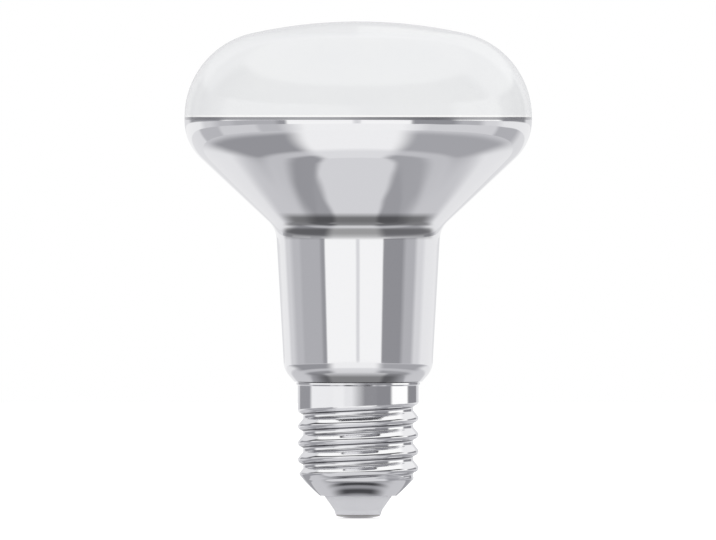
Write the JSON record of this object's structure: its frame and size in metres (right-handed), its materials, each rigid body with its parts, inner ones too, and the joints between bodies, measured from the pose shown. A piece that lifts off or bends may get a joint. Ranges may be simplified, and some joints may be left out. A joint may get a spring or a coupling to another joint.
{
  "type": "reflector bulb",
  "caption": "Reflector lamp with a shallow frosted dome, a mirrored cone that runs into a tapered neck, and a round-thread screw cap with its centre contact.",
  "frame": {"origin": "middle of the centre contact's flat face, the lowest point of the lamp", "axes": "+Z along the lamp's axis, from the centre contact to the middle of the frosted dome; +X to the right in the picture, +Y away from the viewer"},
  "size_m": [0.076, 0.076, 0.1086],
  "materials": {
    "blown_glass": "dome frosted inside, cone and neck silvered inside",
    "cap_metal": "bright pressed sheet",
    "cement": "baked phenolic cement with marble filler",
    "insulator": "moulded, light grey",
    "contact_metal": "nickel plated",
    "lead_metal": "drawn nickel wire"
  },
  "bodies": {
    "root": {"glass_bulb": "blown_glass", "screw_shell": "cap_metal", "capping_cement": "cement", "cap_insulator": "insulator", "centre_contact": "contact_metal", "centre_lead_wire": "lead_metal", "shell_lead_wire": "lead_metal"}
  },
  "joints": []
}
